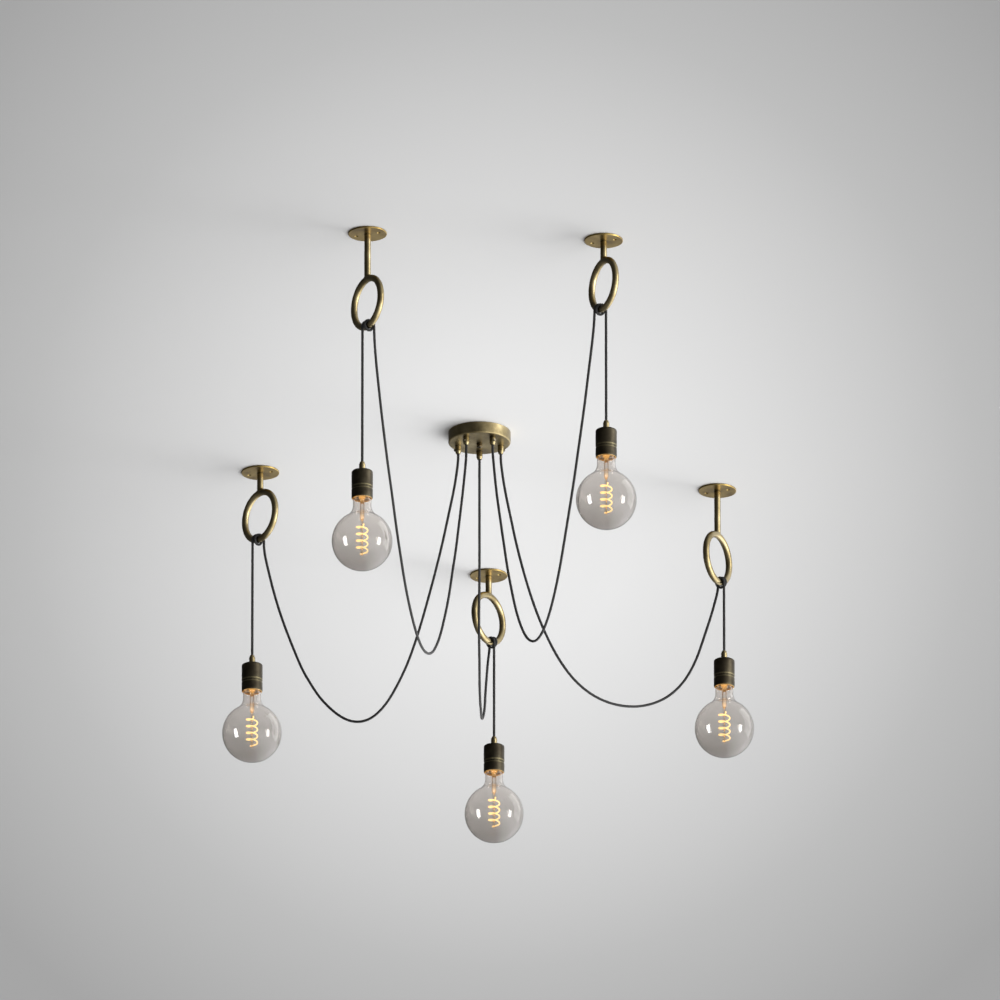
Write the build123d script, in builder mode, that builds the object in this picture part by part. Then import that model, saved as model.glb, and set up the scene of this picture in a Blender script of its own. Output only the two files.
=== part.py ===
from build123d import *
import os
from math import acos, cos, dist, pi, radians, sin, sqrt, tan

# A swag chandelier: one round ceiling canopy feeds five cords, each cord hangs in a swag to a ring
# hook on the ceiling, takes a turn and a half round the ring and drops to a lampholder with a globe
# bulb. Millimetres, +Z up. The ceiling is the plane Z = 0, and the origin is the canopy's centre on
# it. +Y points away from the viewer and +X to the viewer's right.

# Canopy, and what fixes it to the ceiling
canopy_diameter = 131
canopy_height = 24
canopy_wall = 1.2
canopy_edge_radius = 3
bracket_length = 110
bracket_width = 22
bracket_thickness = 2
bracket_corner_radius = 5
bracket_hole_spacing = 82
bracket_hole_diameter = 5.2
stud_diameter = 6
stud_flange_diameter = 12
stud_flange_thickness = 3
cap_nut_diameter = 12
cap_nut_length = 9
cap_nut_floor = 2
cap_nut_edge_radius = 3
thread_clearance = 0.15

# Cord, and the grips that hold it at the canopy and on each lampholder
cord_diameter = 5.5
cord_clearance = 0.3
grip_circle = 94
grip_diameter = 13
canopy_grip_length = 18
holder_grip_length = 20
grip_tip_diameter = 9.2
grip_tip_length = 5.5
grip_thread_diameter = 10
grip_thread_length = 9
lock_nut_width = 14
lock_nut_thickness = 4
set_screw_diameter = 3
set_screw_head_diameter = 5
set_screw_head_length = 2.5

# Terminal block under the bracket, and the cord tails that run to it
block_start = 8
block_length = 26
block_width = 14
block_height = 12
block_corner_radius = 1
block_screw_diameter = 2.4
block_screw_depth = 4
tail_diameter = 3
tail_entry_depth = 3
tail_approach = 7.5
tail_bend_radius = 4
tail_entry_order = {3: 1, 1: 2, 5: 3, 2: 4, 4: 5}

# Ring hooks
plate_diameter = 80
plate_thickness = 3
plate_edge_radius = 1
plate_screw_circle = 50
plate_screw_angle = -23
plate_hole_diameter = 4.5
plate_countersink_diameter = 8
plate_countersink_angle = 90
stem_diameter = 13.5
stem_thread_diameter = 8
ring_radius = 52
ring_tube_diameter = 14
ring_braze_radius = 4
turn_pitch = 8.5
turn_clearance = 0.5

# Lampholder: a cap and a skirt round a ceramic insert
holder_diameter = 44
holder_wall = 2
holder_fit = 0.3
cap_length = 37.2
cap_top_thickness = 2.5
cap_edge_radius = 4
skirt_length = 24.3
skirt_spigot_length = 6
skirt_lip_radius = 4
groove_height = 3.2
groove_depth = 1.6
groove_edge_radius = 1.4
insert_top_drop = 14
insert_flange_thickness = 2.8
insert_length = 42
insert_floor_drop = 34.4
insert_bore_diameter = 27.2

# Bulb: globe, neck, screw cap, contact and spiral filament
globe_diameter = 125
globe_drop = 92.4
glass_wall = 1
neck_diameter = 38
neck_blend_radius = 30
seat_length = 11
seat_clearance = 0.2
glass_stem_diameter = 9
glass_stem_rise = 45.3
rod_diameter = 2.4
rod_drop = 32
bulb_thread_diameter = 26.2
bulb_thread_pitch = 3.629
bulb_thread_depth = 0.5
bulb_thread_turns = 5
bulb_cap_length = 21.5
bulb_cap_wall = 0.7
bulb_cap_cone = 2
insulator_thickness = 6
insulator_diameter = 15
contact_gap = 0.4
button_diameter = 9
button_thickness = 1.6
pin_diameter = 2.4
pin_length = 5.6
filament_diameter = 3
filament_radius = 11.5
filament_inner_radius = 3
filament_turns = 4.5
filament_rise = 38
filament_drop = 29

# One entry per pendant: where its hook stands on the ceiling, how long the hook's stem is, the ring's
# heading seen from above, where round the ring the cord's turn sits, which side the drop leaves on,
# which way the turn advances, the height of the lampholder's top and the angle of its canopy grip.
pendants = {
    1: dict(hook=(-230, -1142), stem=92, heading=-58, seat=4, side=-1, lead=1, holder=-527, grip=-126),
    2: dict(hook=(257, -1103), stem=37, heading=-62, seat=-17, side=1, lead=1, holder=-415, grip=-54),
    3: dict(hook=(-462, 230), stem=37, heading=-52, seat=-7, side=-1, lead=1, holder=-432, grip=162),
    4: dict(hook=(502, 336), stem=92, heading=62, seat=17, side=1, lead=-1, holder=-382, grip=18),
    5: dict(hook=(19, 840), stem=37, heading=55, seat=13, side=1, lead=-1, holder=-388, grip=90),
}

# How the swags hang, point by point from the canopy's grip to the ring
end_run = 14
swag_routes = {
    1: [(-28, -43, -77), (-31, -59, -117), (-35, -83, -168), (-40, -111, -224), (-45, -140, -280),
        (-50, -170, -335), (-56, -203, -388), (-61, -236, -440), (-67, -271, -491), (-74, -309, -540),
        (-81, -350, -587), (-89, -396, -628), (-97, -448, -663), (-107, -504, -687), (-117, -563, -699),
        (-127, -623, -697), (-137, -681, -681), (-147, -737, -655), (-156, -790, -622),
        (-164, -839, -584), (-172, -886, -543), (-179, -930, -500), (-187, -974, -456),
        (-194, -1016, -412), (-201, -1057, -366), (-207, -1094, -319), (-212, -1120, -277),
        (-215, -1136, -243)],
    2: [(29, -43, -77), (32, -58, -117), (36, -82, -168), (42, -110, -224), (48, -139, -280),
        (54, -168, -335), (60, -199, -389), (67, -233, -440), (74, -268, -490), (82, -309, -537),
        (91, -355, -580), (101, -405, -617), (112, -459, -643), (123, -516, -658), (135, -574, -657),
        (147, -632, -641), (158, -688, -614), (168, -739, -579), (177, -786, -538), (186, -830, -495),
        (195, -872, -450), (203, -913, -405), (211, -953, -359), (219, -992, -311), (226, -1030, -262),
        (233, -1064, -215), (237, -1083, -180)],
    3: [(-47, 16, -78), (-53, 19, -119), (-65, 25, -176), (-78, 33, -238), (-93, 41, -300),
        (-109, 49, -360), (-126, 59, -420), (-146, 70, -480), (-164, 79, -520), (-184, 90, -556),
        (-203, 100, -581), (-226, 113, -598), (-250, 126, -602), (-274, 139, -594), (-296, 151, -577),
        (-316, 162, -555), (-337, 173, -527), (-356, 183, -492), (-373, 192, -458), (-394, 204, -400),
        (-414, 215, -341), (-431, 224, -281), (-444, 231, -224), (-452, 235, -185)],
    4: [(47, 16, -78), (53, 21, -119), (65, 29, -177), (78, 40, -238), (94, 51, -299),
        (113, 66, -359), (137, 84, -417), (167, 106, -471), (204, 134, -512), (249, 169, -534),
        (299, 206, -537), (349, 244, -522), (394, 278, -491), (430, 305, -446), (456, 324, -390),
        (474, 338, -328), (489, 349, -276), (498, 356, -239)],
    5: [(0, 53, -78), (0, 69, -116), (0, 98, -168), (0, 132, -222), (0, 169, -272),
        (-1, 210, -317), (-1, 257, -359), (0, 310, -396), (0, 365, -423), (1, 424, -439),
        (3, 484, -444), (4, 544, -436), (6, 602, -416), (9, 657, -386), (11, 707, -348),
        (12, 752, -305), (14, 796, -259), (16, 829, -218), (18, 849, -187)],
}

# Sizes that follow from those above
cord_radius = cord_diameter / 2
bore_radius = cord_radius + cord_clearance
bend_room = cord_radius + cord_clearance
stud_hole_radius = stud_diameter / 2 + thread_clearance
grip_hole_radius = grip_thread_diameter / 2 + thread_clearance
ring_tube_radius = ring_tube_diameter / 2
turn_radius = ring_tube_radius + cord_radius + turn_clearance
tail_start = grip_thread_length - canopy_height
tail_height = -bracket_thickness - block_height / 2
holder_radius = holder_diameter / 2
holder_inner = holder_radius - holder_wall
spigot_outer = holder_inner - holder_fit
spigot_inner = spigot_outer - holder_wall
spigot_top = skirt_spigot_length - cap_length
skirt_foot = -cap_length - skirt_length
globe_radius = globe_diameter / 2
globe_centre = skirt_foot - globe_drop
button_top = -insert_floor_drop - contact_gap
bulb_cap_top = button_top - button_thickness - cord_clearance
bulb_cap_foot = bulb_cap_top - bulb_cap_length
thread_crest = bulb_thread_diameter / 2
thread_root = thread_crest - bulb_thread_depth
bulb_cap_inner = thread_root - bulb_cap_wall
seat_radius = bulb_cap_inner - seat_clearance


def turn_point(pendant, angle):
    """A point of the cord's turn round its ring: the swag arrives at 0, the drop leaves at 540."""
    heading = radians(pendant["heading"])
    seat = radians(pendant["seat"])
    level = Vector(cos(heading), sin(heading), 0)
    right = Vector(-sin(heading), cos(heading), 0) * (1 if heading < 0 else -1)
    inside = Vector(0, 0, cos(seat)) - level * sin(seat)
    along = Vector(0, 0, sin(seat)) + level * cos(seat)
    ring_drop = plate_thickness + pendant["stem"] + ring_tube_radius + ring_radius
    middle = Vector(*pendant["hook"], -ring_drop) - inside * ring_radius
    drop_side = right * pendant["side"]
    advance = turn_pitch * (angle / 360 - 0.75) * pendant["side"] * pendant["lead"]
    around = inside * sin(radians(angle)) - drop_side * cos(radians(angle))
    return middle + around * turn_radius + along * advance


def turn_heading(pendant, angle):
    """The way the cord runs at a point of its turn: plumb where it arrives and where it leaves."""
    if angle == 0:
        return Vector(0, 0, 1)
    if angle == 540:
        return Vector(0, 0, -1)
    return (turn_point(pendant, angle + 0.5) - turn_point(pendant, angle - 0.5)).normalized()


def grip_mouth(pendant):
    """Where a cord leaves its grip on the canopy."""
    angle = radians(pendant["grip"])
    reach = grip_circle / 2
    return Vector(reach * cos(angle), reach * sin(angle), -canopy_height - canopy_grip_length)


def swing_point(pendant):
    """The point below the ring that a drop cord swings about."""
    return turn_point(pendant, 540) - Vector(0, 0, bend_room)


def holder_place(pendant):
    """The centre of a lampholder's top face."""
    pivot = swing_point(pendant)
    return Vector(pivot.X, pivot.Y, pendant["holder"])


def tilt_point(pendant):
    """The point in the mouth of its grip that a lampholder tilts about."""
    return holder_place(pendant) + Vector(0, 0, holder_grip_length)


def bend_radii(points):
    """The largest bend that each corner of a route has room for."""
    radii = []
    for before, corner, after in zip(points, points[1:], points[2:]):
        turn = radians((corner - before).get_angle(after - corner))
        shorter = min((corner - before).length, (after - corner).length)
        radii.append(0.45 * shorter / tan(turn / 2))
    return radii


def add_biarc(start, heading, end, end_heading):
    """Two arcs that leave start along heading and reach end along end_heading."""
    across = end - start
    turned = 2 * (1 - heading.dot(end_heading))
    along = across.dot(heading + end_heading)
    reach = (sqrt(along ** 2 + turned * across.dot(across)) - along) / turned
    joint = (start + heading * reach + end - end_heading * reach) * 0.5
    first = TangentArc(start, joint, tangent=heading)
    TangentArc(joint, end, tangent=first % 1)


def least_gap(points, diameter, apart):
    """The narrowest space that a tube through these points leaves between its own turns."""
    places = [tuple(point) for point in points]
    return min(dist(here, there) for i, here in enumerate(places) for there in places[i + apart:]) - diameter


def save(part, name):
    """Labels a finished piece and writes it under its node's name."""
    part.label = name
    export_step(part, f"parts/{name}.step")


os.makedirs("parts", exist_ok=True)
grip_places = []
hook_places = []
for pendant in pendants.values():
    mouth = grip_mouth(pendant)
    grip_places.append(Location((mouth.X, mouth.Y, -canopy_height), (0, 0, pendant["grip"])))
    hook_places.append(Location((*pendant["hook"], 0), (0, 0, pendant["heading"])))

# Canopy cover: a shallow round pan, open to the ceiling
with BuildPart() as canopy_cover:
    with BuildSketch(Plane.XY.offset(-canopy_height)):
        Circle(canopy_diameter / 2)
    extrude(amount=canopy_height)
    fillet(canopy_cover.edges().group_by(Axis.Z)[0], canopy_edge_radius)
    offset(amount=-canopy_wall, openings=canopy_cover.faces().sort_by(Axis.Z)[-1])
    with BuildSketch(Plane.XY.offset(-canopy_height)):
        Circle(stud_hole_radius)
        with Locations(*[(place.position.X, place.position.Y) for place in grip_places]):
            Circle(grip_hole_radius)
    extrude(amount=canopy_wall, mode=Mode.SUBTRACT)
save(canopy_cover.part, "canopy_cover")

# Ceiling bracket: a flat strip with a hole at each end for a ceiling screw
with BuildPart() as ceiling_bracket:
    with BuildSketch():
        RectangleRounded(bracket_length, bracket_width, bracket_corner_radius)
        with GridLocations(bracket_hole_spacing, 0, 2, 1):
            Circle(bracket_hole_diameter / 2, mode=Mode.SUBTRACT)
        Circle(stud_hole_radius, mode=Mode.SUBTRACT)
    extrude(amount=-bracket_thickness)
save(ceiling_bracket.part, "ceiling_bracket")

# Centre stud: screwed into the bracket up to its flange, with the canopy hung on its lower end
with BuildPart() as centre_stud:
    with BuildSketch():
        Circle(stud_diameter / 2)
    extrude(amount=-(canopy_height + cap_nut_length - cap_nut_floor - thread_clearance))
    chamfer(centre_stud.edges().group_by(Axis.Z)[0], stud_diameter / 10)
    with BuildSketch(Plane.XY.offset(-bracket_thickness)):
        Circle(stud_flange_diameter / 2)
    extrude(amount=-stud_flange_thickness)
save(centre_stud.part, "centre_stud")

with BuildPart() as cap_nut:
    with BuildSketch(Plane.XY.offset(-canopy_height)):
        Circle(cap_nut_diameter / 2)
    extrude(amount=-cap_nut_length)
    fillet(cap_nut.edges().group_by(Axis.Z)[0], cap_nut_edge_radius)
    with BuildSketch(Plane.XY.offset(-canopy_height)):
        Circle(stud_hole_radius)
    extrude(amount=cap_nut_floor - cap_nut_length, mode=Mode.SUBTRACT)
save(cap_nut.part, "cap_nut")


def cord_grip(length):
    """A tapered sleeve on a hollow thread, with its shoulder at Z = 0 and its tip below."""
    with BuildPart() as grip:
        with BuildSketch(Plane.XZ):
            with BuildLine():
                Polyline(
                    (bore_radius, grip_thread_length),
                    (grip_thread_diameter / 2, grip_thread_length),
                    (grip_thread_diameter / 2, 0),
                    (grip_diameter / 2, 0),
                    (grip_diameter / 2, grip_tip_length - length),
                    (grip_tip_diameter / 2, -length),
                    (bore_radius, -length),
                    close=True,
                )
            make_face()
        revolve(axis=Axis.Z)
    return grip.part


# Canopy grips, each with a set screw from outside and a lock nut inside the canopy
set_screw_height = -canopy_grip_length / 2
with BuildPart() as canopy_grip:
    add(cord_grip(canopy_grip_length))
    with BuildSketch(Plane.YZ):
        with Locations((0, set_screw_height)):
            Circle(set_screw_diameter / 2 + thread_clearance)
    extrude(amount=grip_diameter, mode=Mode.SUBTRACT)

with BuildPart() as grip_fastener:
    with BuildSketch(Plane.YZ.offset(bore_radius)):
        with Locations((0, set_screw_height)):
            Circle(set_screw_diameter / 2)
    extrude(amount=grip_diameter / 2 - bore_radius)
    with BuildSketch(Plane.YZ.offset(grip_diameter / 2)):
        with Locations((0, set_screw_height)):
            Circle(set_screw_head_diameter / 2)
    extrude(amount=set_screw_head_length)
    with BuildSketch(Plane.XY.offset(canopy_wall)):
        RegularPolygon(lock_nut_width / 2, 6, major_radius=False)
        Circle(grip_hole_radius, mode=Mode.SUBTRACT)
    extrude(amount=lock_nut_thickness)

with BuildPart() as cord_grips:
    with Locations(*grip_places):
        add(canopy_grip.part)
save(cord_grips.part, "cord_grips")

with BuildPart() as grip_fasteners:
    with Locations(*grip_places):
        add(grip_fastener.part)
save(grip_fasteners.part, "grip_fasteners")

# Terminal block under one arm of the bracket, with wire entries across it and clamp screws below
entry_pitch = block_length / (len(pendants) + 1)
entries = {number: block_start + entry_pitch * place for number, place in tail_entry_order.items()}
with BuildPart() as terminal_block:
    with BuildSketch(Plane.XY.offset(-bracket_thickness)):
        with Locations((block_start + block_length / 2, 0)):
            RectangleRounded(block_length, block_width, block_corner_radius)
    extrude(amount=-block_height)
    with BuildSketch(Plane.XZ.offset(-block_width / 2)):
        with Locations(*[(entry, tail_height) for entry in entries.values()]):
            Circle(tail_diameter / 2 + thread_clearance)
    extrude(amount=block_width, mode=Mode.SUBTRACT)
    with BuildSketch(Plane.XY.offset(-bracket_thickness - block_height)):
        with Locations(*[(entry, 0) for entry in entries.values()]):
            Circle(block_screw_diameter / 2)
    extrude(amount=block_screw_depth, mode=Mode.SUBTRACT)
save(terminal_block.part, "terminal_block")

# Cord tails: from each grip's thread up and across to the terminal block
tails = []
for number, pendant in pendants.items():
    mouth = grip_mouth(pendant)
    face = 1 if mouth.Y > 0 else -1
    with BuildPart() as tail:
        with BuildLine() as tail_line:
            FilletPolyline(
                (mouth.X, mouth.Y, tail_start),
                (mouth.X, mouth.Y, tail_height),
                (entries[number], face * (block_width / 2 + tail_approach), tail_height),
                (entries[number], face * (block_width / 2 - tail_entry_depth), tail_height),
                radius=tail_bend_radius,
            )
        spine = tail_line.wire()
        with BuildSketch(Plane(origin=spine @ 0, z_dir=spine % 0)):
            Circle(tail_diameter / 2)
        sweep(path=spine)
    tails.append(tail.part)

with BuildPart() as lead_wires:
    add(tails)
save(lead_wires.part, "lead_wires")

# Hook plates: discs with a tapped centre and two countersunk screw holes
with BuildPart() as hook_plate:
    with BuildSketch(Plane.XY.offset(-plate_thickness)):
        Circle(plate_diameter / 2)
    extrude(amount=plate_thickness)
    fillet(hook_plate.edges().group_by(Axis.Z)[0], plate_edge_radius)
    with Locations(Location((0, 0, -plate_thickness), (180, 0, 0))):
        Hole(stem_thread_diameter / 2 + thread_clearance)
        with PolarLocations(plate_screw_circle / 2, 2, start_angle=-plate_screw_angle):
            CounterSinkHole(
                plate_hole_diameter / 2,
                plate_countersink_diameter / 2,
                counter_sink_angle=plate_countersink_angle,
            )

with BuildPart() as hook_plates:
    with Locations(*[(*pendant["hook"], 0) for pendant in pendants.values()]):
        add(hook_plate.part)
save(hook_plates.part, "hook_plates")


def hook_eye(stem_length):
    """A hook's stem with its ring brazed on below, the ring standing in the XZ plane."""
    ring_drop = plate_thickness + stem_length + ring_tube_radius + ring_radius
    with BuildPart() as eye:
        with Locations(Location((0, 0, -ring_drop), (90, 0, 0))):
            Torus(ring_radius, ring_tube_radius)
        with BuildSketch(Plane.XY.offset(-plate_thickness)):
            Circle(stem_diameter / 2)
        extrude(amount=-stem_length - ring_tube_radius)
        fillet(eye.edges().filter_by(GeomType.BSPLINE), ring_braze_radius)
        with BuildSketch(Plane.XY.offset(-plate_thickness)):
            Circle(stem_thread_diameter / 2)
        extrude(amount=plate_thickness)
    return eye.part


eyes = [hook_eye(pendant["stem"]) for pendant in pendants.values()]
with BuildPart() as hook_eyes:
    for eye, place in zip(eyes, hook_places):
        with Locations(place):
            add(eye)
save(hook_eyes.part, "hook_eyes")

# Swag cords: through the grip, down and up in the swag, then a turn and a half round the ring
for number, pendant in pendants.items():
    mouth = grip_mouth(pendant)
    arrival = turn_point(pendant, 0)
    hang = Vector(0, 0, -end_run)
    swag = [Vector(*point) for point in swag_routes[number]]
    route = [mouth, mouth + hang, *swag, arrival + hang, arrival]
    radii = bend_radii(route)
    with BuildPart() as swag_cord:
        with BuildLine() as swag_line:
            Line((mouth.X, mouth.Y, tail_start), mouth)
            FilletPolyline(*route, radius=radii)
            for angle in range(0, 540, 90):
                add_biarc(
                    turn_point(pendant, angle),
                    turn_heading(pendant, angle),
                    turn_point(pendant, angle + 90),
                    turn_heading(pendant, angle + 90),
                )
        spine = swag_line.wire()
        with BuildSketch(Plane(origin=spine @ 0, z_dir=spine % 0)):
            Circle(cord_radius)
        sweep(path=spine)
    save(swag_cord.part, f"swag_cord_{number}")
    turn = [turn_point(pendant, angle) for angle in range(0, 541, 10)]
    fill = swag_cord.part.volume / (pi * cord_radius ** 2 * spine.length)
    print(f"swag_cord_{number}: length {spine.length:.0f}, bend radii", *[round(radius) for radius in radii])
    print(f"  volume over section times length {fill:.4f}, least gap {least_gap(turn, cord_diameter, 20):.2f}")

# Drop cords: straight, with round ends where the cord bends at the ring and above the lampholder
for number, pendant in pendants.items():
    top = swing_point(pendant)
    length = top.Z - tilt_point(pendant).Z
    shoulder = cord_radius * sin(pi / 4)
    with BuildPart() as drop_cord:
        with BuildSketch(Plane.XZ):
            with BuildLine():
                ThreePointArc((0, cord_radius), (shoulder, shoulder), (cord_radius, 0))
                Line((cord_radius, 0), (cord_radius, -length))
                ThreePointArc((cord_radius, -length), (shoulder, -length - shoulder), (0, -length - cord_radius))
                Line((0, -length - cord_radius), (0, cord_radius))
            make_face()
        revolve(axis=Axis.Z)
    with BuildPart() as hung_cord:
        with Locations(top):
            add(drop_cord.part)
    save(hung_cord.part, f"drop_cord_{number}")
    print(f"drop_cord_{number}: length {length:.1f}, swings about", *[round(value, 2) for value in top])

# Lampholder cap, its top face at Z = 0
with BuildPart() as holder_cap:
    with BuildSketch():
        Circle(holder_radius)
    extrude(amount=-cap_length)
    fillet(holder_cap.edges().group_by(Axis.Z)[-1], cap_edge_radius)
    fillet(holder_cap.edges().group_by(Axis.Z)[0], groove_edge_radius)
    with BuildSketch(Plane.XY.offset(-cap_length)):
        Circle(holder_inner)
    extrude(amount=cap_length - cap_top_thickness, mode=Mode.SUBTRACT)
    with BuildSketch():
        Circle(grip_hole_radius)
    extrude(amount=-cap_top_thickness, mode=Mode.SUBTRACT)

# Lampholder skirt: its spigot goes up into the cap, whose rim stands on the ring of the groove
lip_turn = acos(1 - holder_wall / skirt_lip_radius)
lip_top = skirt_foot + skirt_lip_radius * sin(lip_turn)
lip_centre = holder_radius - skirt_lip_radius
groove_foot = -cap_length - groove_height
with BuildPart() as holder_skirt:
    with BuildSketch(Plane.XZ):
        with BuildLine():
            spigot = Polyline(
                (spigot_inner, spigot_top),
                (spigot_outer, spigot_top),
                (spigot_outer, -cap_length),
                (holder_radius - groove_depth, -cap_length),
                (holder_radius - groove_depth, groove_foot),
                (holder_radius - groove_edge_radius, groove_foot),
            )
            shoulder = ThreePointArc(
                spigot @ 1,
                (
                    holder_radius - groove_edge_radius * (1 - sin(pi / 4)),
                    groove_foot - groove_edge_radius * (1 - cos(pi / 4)),
                ),
                (holder_radius, groove_foot - groove_edge_radius),
            )
            outside = Line(shoulder @ 1, (holder_radius, lip_top))
            lip = ThreePointArc(
                outside @ 1,
                (
                    lip_centre + skirt_lip_radius * cos(lip_turn / 2),
                    lip_top - skirt_lip_radius * sin(lip_turn / 2),
                ),
                (holder_inner, skirt_foot),
            )
            Polyline(
                lip @ 1,
                (holder_inner, groove_foot - holder_wall),
                (spigot_inner, groove_foot - holder_wall),
                spigot @ 0,
            )
        make_face()
    revolve(axis=Axis.Z)

# Ceramic insert: hung by its flange on the skirt's spigot, with the fixed contact on its floor
insert_outer = spigot_inner - holder_fit
insert_foot = -insert_top_drop - insert_length
with BuildPart() as holder_insert:
    with BuildSketch(Plane.XZ):
        with BuildLine():
            Polyline(
                (0, -insert_top_drop),
                (insert_outer, -insert_top_drop),
                (insert_outer, spigot_top + insert_flange_thickness),
                (spigot_outer, spigot_top + insert_flange_thickness),
                (spigot_outer, spigot_top),
                (insert_outer, spigot_top),
                (insert_outer, insert_foot),
                (insert_bore_diameter / 2, insert_foot),
                (insert_bore_diameter / 2, -insert_floor_drop),
                (0, -insert_floor_drop),
                close=True,
            )
        make_face()
    revolve(axis=Axis.Z)

# Bulb contact: a button on a pin that stands in the insulator of the bulb's cap
with BuildPart() as bulb_contact:
    with BuildSketch(Plane.XY.offset(button_top)):
        Circle(button_diameter / 2)
    extrude(amount=-button_thickness)
    with BuildSketch(Plane.XY.offset(button_top - button_thickness)):
        Circle(pin_diameter / 2)
    extrude(amount=-pin_length)

# Bulb cap: a cup with a rolled thread, closed above by its insulator
pin_hole = pin_diameter / 2 + cord_clearance
thread_top = bulb_cap_top - bulb_cap_cone
thread_line = []
for turn_number in range(bulb_thread_turns):
    root = thread_top - bulb_thread_pitch * turn_number
    thread_line += [(thread_root, root), (thread_crest, root - bulb_thread_pitch / 2)]
with BuildPart() as bulb_cap:
    with BuildSketch(Plane.XZ):
        with BuildLine():
            Polyline(
                (pin_hole, bulb_cap_top),
                (insulator_diameter / 2, bulb_cap_top),
                *thread_line,
                (thread_root, thread_top - bulb_thread_pitch * bulb_thread_turns),
                (thread_root, bulb_cap_foot),
                (bulb_cap_inner, bulb_cap_foot),
                (bulb_cap_inner, bulb_cap_top - insulator_thickness),
                (pin_hole, bulb_cap_top - insulator_thickness),
                close=True,
            )
        make_face()
    revolve(axis=Axis.Z)


def glass_body(inset):
    """The bulb's glass from seat to globe as a full body, its skin moved inwards by inset."""
    globe = globe_radius - inset
    neck = neck_diameter / 2 - inset
    blend = neck_blend_radius + inset
    blend_height = globe_centre + sqrt((globe + blend) ** 2 - (neck + blend) ** 2)
    blend_turn = acos((neck + blend) / (globe + blend))
    meet = (globe * cos(blend_turn), globe_centre + globe * sin(blend_turn))
    globe_middle = (blend_turn - pi / 2) / 2
    shoulder = neck - seat_radius
    shoulder_top = bulb_cap_foot - inset
    seat_top = bulb_cap_foot + seat_length
    with BuildPart() as body:
        with BuildSketch(Plane.XZ):
            with BuildLine():
                seat = Polyline(
                    (0, globe_centre - globe),
                    (0, seat_top),
                    (seat_radius - inset, seat_top),
                    (seat_radius - inset, shoulder_top),
                )
                if inset:
                    Line(seat @ 1, (seat_radius, shoulder_top))
                ThreePointArc(
                    (seat_radius, shoulder_top),
                    (
                        seat_radius + shoulder * sin(pi / 4),
                        shoulder_top - shoulder * (1 - cos(pi / 4)),
                    ),
                    (neck, shoulder_top - shoulder),
                )
                Line((neck, shoulder_top - shoulder), (neck, blend_height))
                ThreePointArc(
                    (neck, blend_height),
                    (
                        neck + blend * (1 - cos(blend_turn / 2)),
                        blend_height - blend * sin(blend_turn / 2),
                    ),
                    meet,
                )
                ThreePointArc(
                    meet,
                    (globe * cos(globe_middle), globe_centre + globe * sin(globe_middle)),
                    seat @ 0,
                )
            make_face()
        revolve(axis=Axis.Z)
    return body.part


# Bulb glass: a thin shell closed in its cap, with the stem and rod that carry the filament
outer_glass = glass_body(0)
inner_glass = glass_body(glass_wall)
closure_top = bulb_cap_foot + seat_length
with BuildPart() as bulb_glass:
    add(outer_glass)
    add(inner_glass, mode=Mode.SUBTRACT)
    with BuildSketch(Plane.XZ):
        with BuildLine():
            Polyline(
                (0, closure_top),
                (seat_radius - glass_wall / 2, closure_top),
                (seat_radius - glass_wall / 2, closure_top - 2 * glass_wall),
                (glass_stem_diameter / 2, closure_top - 2 * glass_wall),
                (glass_stem_diameter / 2, globe_centre + glass_stem_rise + glass_stem_diameter),
                (rod_diameter / 2, globe_centre + glass_stem_rise),
                (rod_diameter / 2, globe_centre - rod_drop),
                (0, globe_centre - rod_drop),
                close=True,
            )
        make_face()
    revolve(axis=Axis.Z)

# Spiral filament: one tube that winds out from the rod, down round it and in again
spiral_quarters = round(4 * filament_turns)
easing_quarters = 2


def spiral_point(quarter):
    """A point of the filament's line, counted in quarter turns from its top."""
    share = quarter / spiral_quarters
    ease = min(quarter, spiral_quarters - quarter, easing_quarters) / easing_quarters
    radius = filament_inner_radius + (filament_radius - filament_inner_radius) * sin(ease * pi / 2) ** 2
    height = globe_centre + filament_rise - (filament_rise + filament_drop) * share
    return Vector(radius * cos(quarter * pi / 2), radius * sin(quarter * pi / 2), height)


def spiral_heading(quarter):
    """The way the filament runs at a point of its line."""
    nudge = 0.02
    ahead = spiral_point(min(quarter + nudge, spiral_quarters))
    behind = spiral_point(max(quarter - nudge, 0))
    return (ahead - behind).normalized()


with BuildPart() as bulb_filament:
    with BuildLine() as filament_line:
        for quarter in range(spiral_quarters):
            add_biarc(
                spiral_point(quarter),
                spiral_heading(quarter),
                spiral_point(quarter + 1),
                spiral_heading(quarter + 1),
            )
    spine = filament_line.wire()
    with BuildSketch(Plane(origin=spine @ 0, z_dir=spine % 0)):
        Circle(filament_diameter / 2)
    sweep(path=spine)
spiral = [spiral_point(eighth / 8) for eighth in range(8 * spiral_quarters + 1)]
print(f"filament: length {spine.length:.0f}, least gap {least_gap(spiral, filament_diameter, 20):.2f}")

# Every drop cord carries the same lampholder and bulb
hung_pieces = {
    "holder_cap": holder_cap,
    "holder_skirt": holder_skirt,
    "holder_insert": holder_insert,
    "bulb_contact": bulb_contact,
    "bulb_cap": bulb_cap,
    "bulb_glass": bulb_glass,
    "bulb_filament": bulb_filament,
}
plain_grip = cord_grip(holder_grip_length)
for number, pendant in pendants.items():
    holder_top = holder_place(pendant)
    with BuildPart() as holder_grip:
        with Locations(Location(holder_top, (180, 0, 0))):
            add(plain_grip)
    save(holder_grip.part, f"holder_grip_{number}")
    for name, piece in hung_pieces.items():
        with BuildPart() as hung_piece:
            with Locations(holder_top):
                add(piece.part)
        save(hung_piece.part, f"{name}_{number}")
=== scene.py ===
"""Looks of a five-light swag chandelier: cords, glass, finishes, ceiling, light and camera.

Metres, +Z up. The ceiling is the plane Z = 0, the origin is the canopy's centre on it, and the viewer
stands on the -Y side, below the ceiling.
"""
from math import acos, cos, pi, radians, sin, sqrt, tan

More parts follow.
